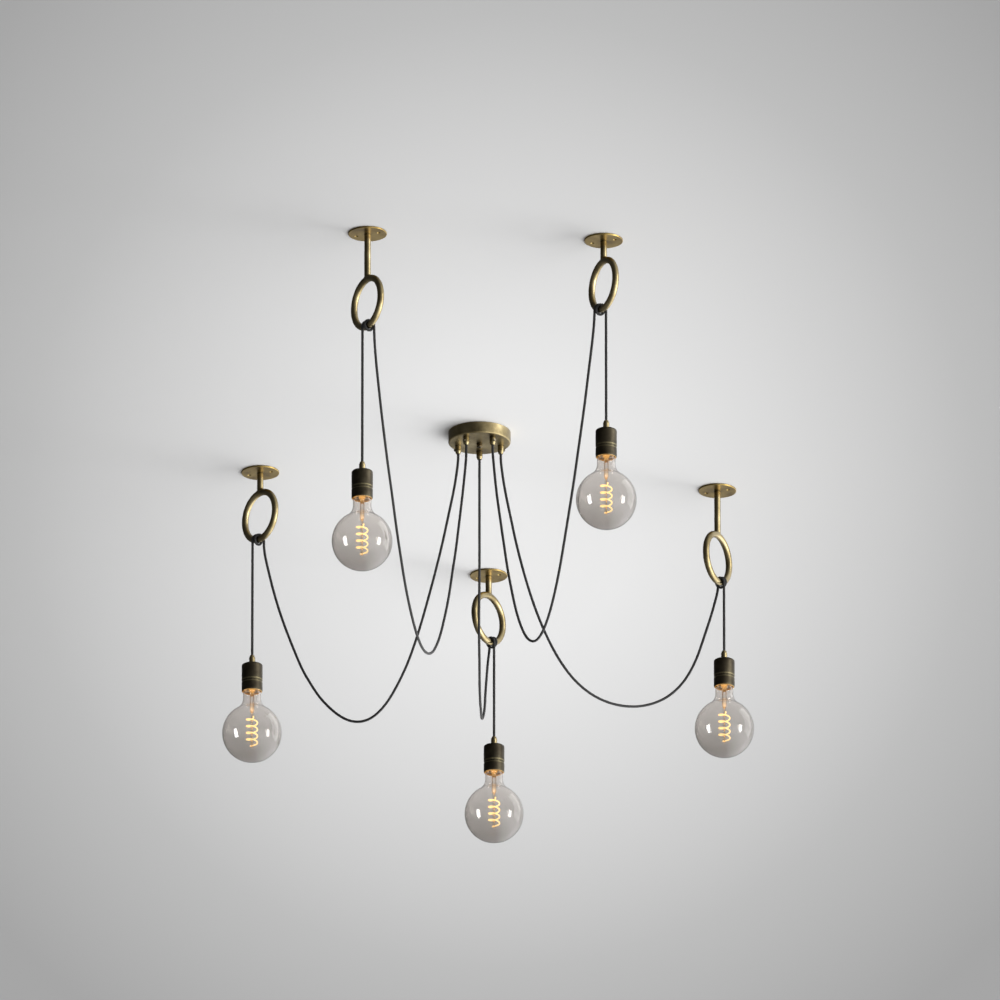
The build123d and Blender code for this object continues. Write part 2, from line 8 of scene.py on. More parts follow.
import bpy
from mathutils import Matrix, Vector


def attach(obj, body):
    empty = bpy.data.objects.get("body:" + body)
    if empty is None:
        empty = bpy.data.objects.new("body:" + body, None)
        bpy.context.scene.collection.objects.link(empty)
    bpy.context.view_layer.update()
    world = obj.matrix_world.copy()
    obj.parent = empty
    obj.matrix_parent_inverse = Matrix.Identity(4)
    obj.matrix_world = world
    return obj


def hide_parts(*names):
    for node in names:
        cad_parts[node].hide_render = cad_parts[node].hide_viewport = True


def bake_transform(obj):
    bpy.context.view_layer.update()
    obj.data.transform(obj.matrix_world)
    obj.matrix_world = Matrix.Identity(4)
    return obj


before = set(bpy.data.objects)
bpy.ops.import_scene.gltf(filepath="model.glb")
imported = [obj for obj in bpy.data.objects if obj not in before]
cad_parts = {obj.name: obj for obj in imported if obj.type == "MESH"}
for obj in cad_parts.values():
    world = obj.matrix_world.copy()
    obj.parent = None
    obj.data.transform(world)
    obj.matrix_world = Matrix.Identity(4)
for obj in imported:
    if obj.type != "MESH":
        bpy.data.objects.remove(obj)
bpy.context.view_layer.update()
mm = 0.001

# Camera: far away, so that the five globes look equally large
view_rise = radians(21)
view_line = Vector((0, cos(view_rise), sin(view_rise)))
view_distance = 60
view_target = Vector((0.0431, 0.0506, -0.1317))
picture_width = 2.1
sensor_width = 36

# Cord, canopy grips and ring hooks
cord_diameter = 5.5 * mm
cord_sides = 14
route_resolution = 10
grip_reach = 47 * mm
grip_mouth_height = -42 * mm
grip_inside = 10 * mm
straight_run = 14 * mm
plate_thickness = 3 * mm
ring_radius = 52 * mm
ring_tube_radius = 7 * mm
turn_radius = 10.25 * mm
turn_pitch = 8.5 * mm
turn_step = 30
turn_end = 540
bend_room = 3.05 * mm
bend_above = 3 * mm
bend_below = 17 * mm
holder_grip_length = 20 * mm
cord_in_holder = 12 * mm

# Bulb, measured down from the top of its lampholder
globe_centre = -153.9 * mm
globe_radius = 62.5 * mm
glass_wall = 1 * mm
neck_radius = 19 * mm
neck_blend_radius = 30 * mm
bulb_cap_foot = -58.2 * mm
seat_radius = 11.7 * mm
seat_length = 11 * mm
glass_segments = 96
globe_steps = 56
blend_steps = 24
shoulder_steps = 8
stem_segments = 32
stem_radius = 4.5 * mm
stem_foot = globe_centre + 45.3 * mm
rod_radius = 1.2 * mm
rod_foot = globe_centre - 32 * mm
spiral_top = globe_centre + 38 * mm
spiral_foot = globe_centre - 29 * mm
spiral_end_radius = 3 * mm
wire_diameter = 0.8 * mm
wire_sides = 8
wire_spread = 2.4 * mm

# Ceiling, whose painted pale middle lies behind the light, and the room around it
ceiling_reach = 7
ceiling_height = 1 * mm
glow_shift = 0.07
glow_reach = 1.5
glow_middle = view_target.y - view_target.z / tan(view_rise) + glow_shift
backdrop_grey = 0.72
floor_bounce = 2.6

# One entry per pendant: the hook's place on the ceiling, the length of its stem, the ring's heading seen
# from above, where round the ring the cord's turn sits, the side the drop leaves on, the way the turn
# advances, the height of the lampholder's top, the angle of the canopy grip and the swag's length.
pendants = {
    1: dict(
        hook=(-230, -1142), stem=92, heading=-58, seat=4, side=-1, lead=1, holder=-527, grip=-126, swag=1.80
    ),
    2: dict(
        hook=(257, -1103), stem=37, heading=-62, seat=-17, side=1, lead=1, holder=-415, grip=-54, swag=1.74
    ),
    3: dict(
        hook=(-462, 230), stem=37, heading=-52, seat=-7, side=-1, lead=1, holder=-432, grip=162, swag=1.27
    ),
    4: dict(
        hook=(502, 336), stem=92, heading=62, seat=17, side=1, lead=-1, holder=-382, grip=18, swag=1.20
    ),
    5: dict(
        hook=(19, 840), stem=37, heading=55, seat=13, side=1, lead=-1, holder=-388, grip=90, swag=1.24
    ),
}

# How the swags hang, in millimetres, point by point from the canopy's grip to the ring
swag_routes = {
    1: [
        (-28, -43, -77), (-31, -59, -117), (-35, -83, -168), (-40, -111, -224), (-45, -140, -280),
        (-50, -170, -335), (-56, -203, -388), (-61, -236, -440), (-67, -271, -491), (-74, -309, -540),
        (-81, -350, -587), (-89, -396, -628), (-97, -448, -663), (-107, -504, -687), (-117, -563, -699),
        (-127, -623, -697), (-137, -681, -681), (-147, -737, -655), (-156, -790, -622), (-164, -839, -584),
        (-172, -886, -543), (-179, -930, -500), (-187, -974, -456), (-194, -1016, -412), (-201, -1057, -366),
        (-207, -1094, -319), (-212, -1120, -277), (-215, -1136, -243),
    ],
    2: [
        (29, -43, -77), (32, -58, -117), (36, -82, -168), (42, -110, -224), (48, -139, -280),
        (54, -168, -335), (60, -199, -389), (67, -233, -440), (74, -268, -490), (82, -309, -537),
        (91, -355, -580), (101, -405, -617), (112, -459, -643), (123, -516, -658), (135, -574, -657),
        (147, -632, -641), (158, -688, -614), (168, -739, -579), (177, -786, -538), (186, -830, -495),
        (195, -872, -450), (203, -913, -405), (211, -953, -359), (219, -992, -311), (226, -1030, -262),
        (233, -1064, -215), (237, -1083, -180),
    ],
    3: [
        (-47, 16, -78), (-53, 19, -119), (-65, 25, -176), (-78, 33, -238), (-93, 41, -300),
        (-109, 49, -360), (-126, 59, -420), (-146, 70, -480), (-164, 79, -520), (-184, 90, -556),
        (-203, 100, -581), (-226, 113, -598), (-250, 126, -602), (-274, 139, -594), (-296, 151, -577),
        (-316, 162, -555), (-337, 173, -527), (-356, 183, -492), (-373, 192, -458), (-394, 204, -400),
        (-414, 215, -341), (-431, 224, -281), (-444, 231, -224), (-452, 235, -185),
    ],
    4: [
        (47, 16, -78), (53, 21, -119), (65, 29, -177), (78, 40, -238), (94, 51, -299), (113, 66, -359),
        (137, 84, -417), (167, 106, -471), (204, 134, -512), (249, 169, -534), (299, 206, -537),
        (349, 244, -522), (394, 278, -491), (430, 305, -446), (456, 324, -390), (474, 338, -328),
        (489, 349, -276), (498, 356, -239),
    ],
    5: [
        (0, 53, -78), (0, 69, -116), (0, 98, -168), (0, 132, -222), (0, 169, -272), (-1, 210, -317),
        (-1, 257, -359), (0, 310, -396), (0, 365, -423), (1, 424, -439), (3, 484, -444), (4, 544, -436),
        (6, 602, -416), (9, 657, -386), (11, 707, -348), (12, 752, -305), (14, 796, -259), (16, 829, -218),
        (18, 849, -187),
    ],
}


class Nodes:
    """A node tree under construction, with one short call for each kind of node used here."""

    def __init__(self, owner):
        owner.use_nodes = True
        self.nodes = owner.node_tree.nodes
        self.links = owner.node_tree.links

    def node(self, kind, inputs=(), **settings):
        made = self.nodes.new(kind)
        for key, value in settings.items():
            setattr(made, key, value)
        for key, value in dict(inputs).items():
            self.feed(made.inputs[key], value)
        return made

    def feed(self, socket, value):
        if isinstance(value, bpy.types.NodeSocket):
            self.links.new(value, socket)
        else:
            socket.default_value = value

    def place(self, output="Object"):
        return self.node("ShaderNodeTexCoord").outputs[output]

    def noise(self, scale, detail=4, vector=None):
        inputs = {"Vector": vector or self.place(), "Scale": scale, "Detail": detail}
        return self.node("ShaderNodeTexNoise", inputs).outputs["Fac"]

    def stretch(self, vector, scale):
        return self.node("ShaderNodeMapping", {"Vector": vector, "Scale": scale}).outputs["Vector"]

    def math(self, operation, first, second=0.0):
        return self.node("ShaderNodeMath", {0: first, 1: second}, operation=operation).outputs["Value"]

    def split(self, vector):
        return self.node("ShaderNodeSeparateXYZ", {"Vector": vector}).outputs

    def join(self, x, y, z=0.0):
        return self.node("ShaderNodeCombineXYZ", {"X": x, "Y": y, "Z": z}).outputs["Vector"]

    def ramp(self, factor, *stops):
        """A colour or grey along a factor, from (position, value) stops."""
        made = self.node("ShaderNodeValToRGB", {"Fac": factor})
        elements = made.color_ramp.elements
        while len(elements) < len(stops):
            elements.new(1.0)
        for element, (position, value) in zip(elements, stops):
            element.position = position
            colour = value if isinstance(value, tuple) else (value,) * 3
            element.color = (*colour, 1)
        return made.outputs["Color"]

    def mix(self, factor, first, second, blend="MIX"):
        made = self.node("ShaderNodeMix", data_type="RGBA", blend_type=blend)
        for index, value in ((0, factor), (6, first), (7, second)):
            if isinstance(value, tuple):
                value = (*value, 1)
            self.feed(made.inputs[index], value)
        return made.outputs[2]

    def bump(self, height, distance, strength=1.0, normal=None):
        made = self.node("ShaderNodeBump", {"Height": height, "Distance": distance, "Strength": strength})
        if normal is not None:
            self.feed(made.inputs["Normal"], normal)
        return made.outputs["Normal"]

    def edge(self, radius, low, high):
        """1 along sharp edges and 0 on flat faces."""
        rounded = self.node("ShaderNodeBevel", {"Radius": radius}, samples=6).outputs["Normal"]
        flat = self.node("ShaderNodeNewGeometry").outputs["Normal"]
        turned = self.node("ShaderNodeVectorMath", {0: rounded, 1: flat}, operation="DOT_PRODUCT")
        return self.ramp(turned.outputs["Value"], (low, 1.0), (high, 0.0))


class Shader(Nodes):
    """A material under construction, with its surface."""

    def __init__(self, name):
        self.material = bpy.data.materials.new(name)
        super().__init__(self.material)
        self.surface = self.nodes["Principled BSDF"]
        self.output = self.nodes["Material Output"]

    def set(self, **values):
        """Values for the surface's sockets, named with underscores for spaces."""
        for key, value in values.items():
            self.feed(self.surface.inputs[key.replace("_", " ")], value)


def aged_brass(name, dark, middle, light, wear, roughness, corner_reach):
    """Brass, patinated brown, with painted shade darkening it in its corners, rubbed brighter on its edges.
    """
    brass = Shader(name)
    blotches = brass.noise(26, 5)
    mottle = brass.noise(260, 6)
    worn = brass.math("ADD", brass.math("MULTIPLY", blotches, 0.85), brass.math("MULTIPLY", mottle, 0.15))
    patina_and_shade = brass.ramp(worn, (0.30, dark), (0.48, middle), (0.70, light))
    # painted shade: ambient occlusion darkens the brass to near black in its corners and recesses
    corners = brass.node("ShaderNodeAmbientOcclusion", {"Distance": corner_reach}, samples=8).outputs["AO"]
    patina_and_shade = brass.mix(brass.ramp(corners, (0.45, 0.8), (0.9, 0.0)), patina_and_shade, (0.030, 0.022, 0.010))
    edges = brass.edge(1.2 * mm, 0.93, 0.995)
    rubbed = brass.math("MULTIPLY", edges, brass.ramp(mottle, (0.35, 0.2), (0.62, 1.0)))
    colour = brass.mix(brass.math("MULTIPLY", rubbed, wear), patina_and_shade, (0.62, 0.52, 0.28))
    scratches = brass.noise(90, 3, brass.stretch(brass.place(), (1, 1, 14)))
    rough = brass.ramp(scratches, (0.35, roughness - 0.02), (0.65, roughness + 0.03))
    normal = brass.bump(mottle, 0.05 * mm, 0.06)
    brass.set(Base_Color=colour, Metallic=1.0, Roughness=rough, Normal=normal)
    return brass.material


def dark_bronze(name, highlight_foot, highlight_top, glow):
    """Blackened bronze, turned on a lathe, with rubbed edges that are partly wear and partly painted
    highlight, a painted highlight band between two heights and painted shade in its corners.

    The highlight band's heights are shares of the piece's height; glow is the strength of the painted glow
    that stands for the bulb's light in its bore.
    """
    bronze = Shader(name)
    place = bronze.split(bronze.place())
    rings = bronze.noise(1, 3, bronze.join(0.0, 0.0, bronze.math("MULTIPLY", place["Z"], 2600)))
    stains = bronze.noise(48, 5)
    grain = bronze.noise(620, 4)
    colour = bronze.ramp(
        stains, (0.32, (0.030, 0.024, 0.015)), (0.55, (0.052, 0.043, 0.027)), (0.78, (0.082, 0.068, 0.042))
    )
    # rubbed edges: wear, with a bevel wide enough to paint highlights on the groove's rounded shoulders too
    edges = bronze.edge(2.2 * mm, 0.86, 0.985)
    rubbed = bronze.math("MULTIPLY", edges, bronze.ramp(grain, (0.4, 0.6), (0.65, 0.9)))
    colour = bronze.mix(rubbed, colour, (0.34, 0.30, 0.17))
    # painted shade: ambient occlusion darkens the bronze to near black in its corners
    corners = bronze.node("ShaderNodeAmbientOcclusion", {"Distance": 3 * mm}, samples=8).outputs["AO"]
    colour = bronze.mix(bronze.ramp(corners, (0.45, 0.9), (0.8, 0.0)), colour, (0.006, 0.005, 0.003))
    within = bronze.split(bronze.place("Generated"))
    # painted highlight: a bright band between two heights, on the groove's rounded shoulder
    rib_highlight = bronze.ramp(
        within["Z"], (highlight_foot - 0.02, 0.0), (highlight_foot, 0.35), (highlight_top, 0.35), (highlight_top + 0.01, 0.0)
    )
    colour = bronze.mix(rib_highlight, colour, (0.30, 0.26, 0.14))
    aside = bronze.math("POWER", bronze.math("SUBTRACT", within["X"], 0.5), 2)
    ahead = bronze.math("POWER", bronze.math("SUBTRACT", within["Y"], 0.5), 2)
    off_axis = bronze.math("SQRT", bronze.math("ADD", aside, ahead))
    # painted glow: emission near the open end of the bore stands for the bulb's light inside the mouth
    bore = bronze.ramp(off_axis, (0.455, 1.0), (0.475, 0.0))
    mouth = bronze.ramp(within["Z"], (0.02, 1.0), (0.25, 0.0))
    lit = bronze.mix(bronze.math("MULTIPLY", bore, mouth), (0.0, 0.0, 0.0), (1.0, 0.42, 0.03))
    bronze.set(Emission_Color=lit, Emission_Strength=glow)
    rough = bronze.ramp(grain, (0.3, 0.34), (0.7, 0.46))
    height = bronze.math("ADD", rings, bronze.math("MULTIPLY", grain, 0.5))
    bronze.set(Base_Color=colour, Metallic=0.9, Roughness=rough, Normal=bronze.bump(height, 0.06 * mm, 0.5))
    return bronze.material


def braided_cord():
    """Charcoal textile braid: two sets of yarns that cross at a slant."""
    yarns = 8
    pitch = 11 * mm
    cord = Shader("braided_cord")
    uv = cord.split(cord.place("UV"))
    lap = cord.math("MULTIPLY", uv["X"], yarns * pi)
    run = cord.math("MULTIPLY", uv["Y"], yarns * pi / pitch)
    first = cord.math("ABSOLUTE", cord.math("SINE", cord.math("ADD", lap, run)))
    second = cord.math("ABSOLUTE", cord.math("SINE", cord.math("SUBTRACT", lap, run)))
    weave = cord.math("MULTIPLY", first, second)
    fibres = cord.noise(1, 3, cord.stretch(cord.place("UV"), (70, 4200, 1)))
    height = cord.math("ADD", weave, cord.math("MULTIPLY", fibres, 0.3))
    dark = cord.ramp(height, (0.05, (0.004, 0.004, 0.004)), (0.9, (0.022, 0.0215, 0.021)))
    cord.set(Base_Color=dark, Roughness=cord.ramp(fibres, (0.3, 0.62), (0.7, 0.85)))
    cord.set(Sheen_Weight=0.1, Sheen_Roughness=0.4, Normal=cord.bump(height, 0.25 * mm, 0.8))
    return cord.material


def smoke_glass():
    """Thin smoked glass, darker towards its foot, with faint streaks from blowing."""
    glass = Shader("smoke_glass")
    height = glass.split(glass.place("Generated"))["Z"]
    smoke = glass.ramp(
        height,
        (0.0, (0.60, 0.58, 0.56)),
        (0.15, (0.66, 0.64, 0.62)),
        (0.30, (0.75, 0.73, 0.71)),
        (0.48, (0.83, 0.81, 0.79)),
        (0.65, (0.90, 0.88, 0.86)),
    )
    streaks = glass.ramp(glass.noise(24, 2), (0.35, 0.97), (0.65, 1.0))
    tint = glass.mix(1.0, smoke, streaks, "MULTIPLY")
    glass.set(Base_Color=tint, Roughness=0.0, Transmission_Weight=1.0, IOR=1.46)
    depth = glass.node("ShaderNodeVolumeAbsorption", {"Color": (0.62, 0.50, 0.40, 1), "Density": 80})
    glass.links.new(depth.outputs["Volume"], glass.output.inputs["Volume"])
    return glass.material


def stem_glass():
    """Clear glass of the stem inside the globe, amber towards its foot, with painted amber glow."""
    glass = Shader("stem_glass")
    height = glass.split(glass.place("Generated"))["Z"]
    tint = glass.ramp(height, (0.25, (0.93, 0.72, 0.42)), (0.75, (0.92, 0.90, 0.87)))
    rough = glass.ramp(glass.noise(300, 3), (0.4, 0.03), (0.8, 0.12))
    # painted glow: two amber emission bands where the spiral's light falls on the stem
    glow = glass.ramp(
        height,
        (0.54, (0.0, 0.0, 0.0)),
        (0.60, (1.0, 0.55, 0.17)),
        (0.72, (0.0, 0.0, 0.0)),
        (0.84, (0.0, 0.0, 0.0)),
        (0.95, (1.0, 0.50, 0.10)),
    )
    glass.set(Base_Color=tint, Roughness=rough, Transmission_Weight=1.0, IOR=1.5)
    glass.set(Emission_Color=glow, Emission_Strength=0.4)
    return glass.material


def filament():
    """Glowing spiral: bright chips in a warm yellow coat."""
    glow = Shader("filament")
    chips = glow.noise(420, 3)
    colour = glow.ramp(chips, (0.35, (1.0, 0.60, 0.22)), (0.62, (1.0, 0.76, 0.36)))
    glow.set(Base_Color=(0.75, 0.5, 0.2, 1), Roughness=0.5, Emission_Color=colour, Emission_Strength=1.45)
    return glow.material


def lead_wire():
    """Dull nickel wire inside the bulb."""
    wire = Shader("lead_wire")
    grain = wire.noise(700, 3)
    colour = wire.ramp(grain, (0.3, (0.20, 0.17, 0.14)), (0.7, (0.34, 0.30, 0.25)))
    wire.set(Base_Color=colour, Metallic=1.0, Roughness=wire.ramp(grain, (0.3, 0.3), (0.7, 0.5)))
    return wire.material


def porcelain():
    """Glazed ceramic that glows amber at its open end, where the bulb lights it."""
    ware = Shader("porcelain")
    specks = ware.noise(900, 2)
    body = ware.ramp(specks, (0.3, (0.50, 0.44, 0.33)), (0.5, (0.56, 0.50, 0.38)))
    height = ware.split(ware.place("Generated"))["Z"]
    # painted glow: emission at the open end stands for the bulb's light on the insert
    lit = ware.ramp(height, (0.0, (1.0, 0.43, 0.03)), (0.45, (0.0, 0.0, 0.0)))
    rough = ware.ramp(ware.noise(60, 3), (0.3, 0.16), (0.7, 0.3))
    ware.set(Base_Color=body, Roughness=rough, Emission_Color=lit, Emission_Strength=0.5)
    ware.set(Normal=ware.bump(specks, 0.03 * mm, 0.3))
    return ware.material


def plated_metal(name, light, dark, roughness):
    """Plain plated metal with a fine grain and handling marks."""
    metal = Shader(name)
    marks = metal.noise(70, 5)
    grain = metal.noise(850, 3)
    colour = metal.ramp(marks, (0.3, dark), (0.7, light))
    rough = metal.ramp(grain, (0.3, roughness - 0.08), (0.7, roughness + 0.08))
    metal.set(Base_Color=colour, Metallic=1.0, Roughness=rough, Normal=metal.bump(grain, 0.03 * mm, 0.3))
    return metal.material


def moulded(name, light, dark, roughness):
    """Moulded plastic or rubber with a fine moulding grain."""
    plastic = Shader(name)
    grain = plastic.noise(1100, 3)
    tone = plastic.noise(40, 3)
    rough = plastic.ramp(grain, (0.3, roughness - 0.06), (0.7, roughness + 0.06))
    plastic.set(Base_Color=plastic.ramp(tone, (0.3, dark), (0.7, light)), Roughness=rough)
    plastic.set(Normal=plastic.bump(grain, 0.04 * mm, 0.4))
    return plastic.material


def ceiling_paint():
    """Pale paint with painted shade that darkens it towards the picture's corners, and clear when seen from
    above.
    """
    paint = Shader("ceiling_paint")
    spot = paint.split(paint.place())
    aside = paint.math("SUBTRACT", spot["X"], view_target.x)
    ahead = paint.math("MULTIPLY", paint.math("SUBTRACT", spot["Y"], glow_middle), sin(view_rise))
    square = paint.math("ADD", paint.math("MULTIPLY", aside, aside), paint.math("MULTIPLY", ahead, ahead))
    # painted shade: the colour darkens with distance from a middle behind the light
    shade = paint.ramp(
        paint.math("MULTIPLY", paint.math("SQRT", square), 1 / glow_reach),
        (0.0, 0.648),
        (0.197, 0.62),
        (0.28, 0.585),
        (0.396, 0.531),
        (0.564, 0.445),
        (0.672, 0.385),
        (0.95, 0.286),
    )
    lit = paint.node("ShaderNodeBsdfDiffuse", {"Color": shade}).outputs[0]
    clear = paint.node("ShaderNodeBsdfTransparent").outputs[0]
    side = paint.node("ShaderNodeNewGeometry").outputs["Backfacing"]
    one_sided = paint.node("ShaderNodeMixShader", {0: side, 1: lit, 2: clear})
    paint.links.new(one_sided.outputs[0], paint.output.inputs["Surface"])
    return paint.material


brass_tones = ((0.135, 0.104, 0.052), (0.275, 0.222, 0.115), (0.43, 0.355, 0.205))
golden_tones = ((0.15, 0.098, 0.032), (0.31, 0.215, 0.070), (0.47, 0.350, 0.130))
materials = {
    "aged_brass": aged_brass("aged_brass", *brass_tones, wear=0.65, roughness=0.24, corner_reach=4 * mm),
    "canopy_brass": aged_brass("canopy_brass", *brass_tones, wear=0.65, roughness=0.36, corner_reach=4 * mm),
    # painted shade: the plates' longer reach darkens their countersinks and holes
    "plate_brass": aged_brass("plate_brass", *golden_tones, wear=0.25, roughness=0.3, corner_reach=12 * mm),
    "cap_bronze": dark_bronze("cap_bronze", highlight_foot=0.03, highlight_top=0.08, glow=0.0),
    "skirt_bronze": dark_bronze("skirt_bronze", highlight_foot=0.63, highlight_top=0.69, glow=0.45),
    "braided_cord": braided_cord(),
    "smoke_glass": smoke_glass(),
    "stem_glass": stem_glass(),
    "filament": filament(),
    "lead_wire": lead_wire(),
    "porcelain": porcelain(),
    "bulb_metal": plated_metal("bulb_metal", (0.72, 0.62, 0.42), (0.52, 0.43, 0.27), 0.3),
    "dark_brass": plated_metal("dark_brass", (0.13, 0.10, 0.055), (0.06, 0.045, 0.025), 0.24),
    "zinc_steel": plated_metal("zinc_steel", (0.62, 0.62, 0.60), (0.46, 0.46, 0.45), 0.38),
    "screw_steel": plated_metal("screw_steel", (0.20, 0.17, 0.12), (0.10, 0.085, 0.06), 0.34),
    "white_plastic": moulded("white_plastic", (0.80, 0.79, 0.75), (0.72, 0.71, 0.66), 0.4),
    "ceiling_paint": ceiling_paint(),
    "tail_rubber": moulded("tail_rubber", (0.028, 0.028, 0.028), (0.016, 0.016, 0.016), 0.55),
}


def turn_place(pendant, angle, reach):
    """A point of the cord's turn round its ring, reach away from the ring tube's middle."""
    heading = radians(pendant["heading"])
    seat = radians(pendant["seat"])
    level = Vector((cos(heading), sin(heading), 0))
    right = Vector((-sin(heading), cos(heading), 0)) * (1 if heading < 0 else -1)
    inside = Vector((0, 0, cos(seat))) - level * sin(seat)
    along = Vector((0, 0, sin(seat))) + level * cos(seat)
    ring_drop = plate_thickness + pendant["stem"] * mm + ring_tube_radius + ring_radius
    hook = Vector((*pendant["hook"], 0)) * mm
    middle = hook - Vector((0, 0, ring_drop)) - inside * ring_radius
    drop_side = right * pendant["side"]
    advance = turn_pitch * (angle / 360 - 0.75) * pendant["side"] * pendant["lead"]
    around = inside * sin(radians(angle)) - drop_side * cos(radians(angle))
    return middle + around * reach + along * advance


def plumb(height):
    return Vector((0, 0, height))


def grip_mouth(pendant):
    angle = radians(pendant["grip"])
    return Vector((grip_reach * cos(angle), grip_reach * sin(angle), grip_mouth_height))


def drop_top(pendant):
    """Where the cord leaves its ring to hang plumb."""
    return turn_place(pendant, turn_end, turn_radius)


def holder_top(pendant):
    top = drop_top(pendant)
    return Vector((top.x, top.y, pendant["holder"] * mm))


def swag_line(number, pendant):
    """The route of a swag and its turn and a half round the ring, as control points."""
    mouth = grip_mouth(pendant)
    line = [mouth + plumb(grip_inside), mouth, mouth - plumb(straight_run)]
    line += [Vector(point) * mm for point in swag_routes[number]]
    line.append(turn_place(pendant, 0, turn_radius) - plumb(straight_run))
    corner_reach = turn_radius / cos(radians(turn_step / 2))
    for angle in range(turn_step // 2, turn_end, turn_step):
        line.append(turn_place(pendant, angle, corner_reach))
    line.append(drop_top(pendant))
    return line


def smooth_path(control):
    """Points along the NURBS spline that has these control points."""
    curve = bpy.data.curves.new("route", "CURVE")
    curve.dimensions = "3D"
    curve.resolution_u = route_resolution
    spline = curve.splines.new("NURBS")
    spline.points.add(len(control) - 1)
    for point, place in zip(spline.points, control):
        point.co = (*place, 1)
    spline.order_u = 3
    spline.use_endpoint_u = True
    carrier = bpy.data.objects.new("route", curve)
    line = bpy.data.meshes.new_from_object(carrier)
    path = [vertex.co.copy() for vertex in line.vertices]
    bpy.data.meshes.remove(line)
    bpy.data.objects.remove(carrier)
    bpy.data.curves.remove(curve)
    return path


def path_lengths(path):
    """The length run at each point of a path."""
    lengths = [0.0]
    for before, after in zip(path, path[1:]):
        lengths.append(lengths[-1] + (after - before).length)
    return lengths


def mesh_piece(name, points, faces, material):
    """A smooth-shaded mesh object in the scene."""
    mesh = bpy.data.meshes.new(name)
    mesh.from_pydata(points, [], faces)
    mesh.shade_smooth()
    mesh.materials.append(materials[material])
    piece = bpy.data.objects.new(name, mesh)
    bpy.context.scene.collection.objects.link(piece)
    return piece


def tube(name, path, diameter, sides, material, lay_start=0.0):
    """A closed tube along a path; its UV map has one lap round it in U and its length in V."""
    heading = (path[1] - path[0]).normalized()
    across = heading.orthogonal().normalized()
    lengths = path_lengths(path)
    points = []
    for index, place in enumerate(path):
        ahead = path[min(index + 1, len(path) - 1)]
        behind = path[max(index - 1, 0)]
        heading = (ahead - behind).normalized()
        across = (across - heading * across.dot(heading)).normalized()
        upright = heading.cross(across)
        for side in range(sides):
            angle = 2 * pi * side / sides
            points.append(place + (across * cos(angle) + upright * sin(angle)) * diameter / 2)
    faces = []
    corners = []
    for ring in range(len(path) - 1):
        for side in range(sides):
            following = (side + 1) % sides
            here = ring * sides
            there = here + sides
            faces.append((here + side, here + following, there + following, there + side))
            for lap, row in ((side, ring), (side + 1, ring), (side + 1, ring + 1), (side, ring + 1)):
                corners.append((lap / sides, lay_start + lengths[row]))
    last = (len(path) - 1) * sides
    faces.append(tuple(reversed(range(sides))))
    corners += [(0.0, lay_start)] * sides
    faces.append(tuple(range(last, last + sides)))
    corners += [(0.0, lay_start + lengths[-1])] * sides
    piece = mesh_piece(name, points, faces, material)
    layer = piece.data.uv_layers.new(name="UVMap")
    for entry, corner in zip(layer.data, corners):
        entry.uv = corner
    return piece


def lathe(name, outline, place, segments, material):
    """A closed turned body about a plumb axis; the outline's first and last points lie on the axis."""
    points = [place + plumb(outline[0][1])]
    for radius, height in outline[1:-1]:
        for segment in range(segments):
            angle = 2 * pi * segment / segments
            points.append(place + Vector((radius * cos(angle), radius * sin(angle), height)))
    points.append(place + plumb(outline[-1][1]))
    rings = len(outline) - 2
    faces = []
    for segment in range(segments):
        following = (segment + 1) % segments
        faces.append((0, 1 + following, 1 + segment))
        for ring in range(rings - 1):
            here = 1 + ring * segments
            there = here + segments
            faces.append((here + segment, here + following, there + following, there + segment))
        top = 1 + (rings - 1) * segments
        faces.append((top + segment, top + following, len(points) - 1))
    return mesh_piece(name, points, faces, material)


def arc(centre, radius, start, end, steps):
    """Outline points along an arc, its angles in radians from the outward direction."""
    points = []
    for step in range(steps + 1):
        angle = start + (end - start) * step / steps
        points.append((centre[0] + radius * cos(angle), centre[1] + radius * sin(angle)))
    return points


def glass_outline(inset):
    """The globe's skin moved inwards by inset, from its lowest point up to the seat."""
    globe = globe_radius - inset
    neck = neck_radius - inset
    blend = neck_blend_radius + inset
    blend_height = globe_centre + sqrt((globe + blend) ** 2 - (neck + blend) ** 2)
    blend_turn = acos((neck + blend) / (globe + blend))
    shoulder = neck - seat_radius
    shoulder_middle = bulb_cap_foot - inset - shoulder
    outline = arc((0, globe_centre), globe, -pi / 2, blend_turn, globe_steps)
    outline += arc((neck + blend, blend_height), blend, pi + blend_turn, pi, blend_steps)[1:]
    outline += arc((seat_radius, shoulder_middle), shoulder, 0, pi / 2, shoulder_steps)
    outline.append((seat_radius - inset, bulb_cap_foot + seat_length - inset))
    outline[0] = (0.0, globe_centre - globe)
    return outline


def stem_outline():
    """The glass stem and the thin rod below it, from the rod's foot up to the seat."""
    seat_top = bulb_cap_foot + seat_length - 2 * glass_wall
    return [
        (0, rod_foot),
        (rod_radius * 0.7, rod_foot),
        (rod_radius, rod_foot + rod_radius),
        (rod_radius, stem_foot),
        (stem_radius * 0.6, stem_foot + stem_radius * 0.5),
        (stem_radius * 0.9, stem_foot + stem_radius * 1.2),
        (stem_radius, stem_foot + 2 * stem_radius),
        (stem_radius, bulb_cap_foot - stem_radius),
        (stem_radius * 1.4, bulb_cap_foot),
        (stem_radius * 2.2, seat_top),
        (0, seat_top),
    ]


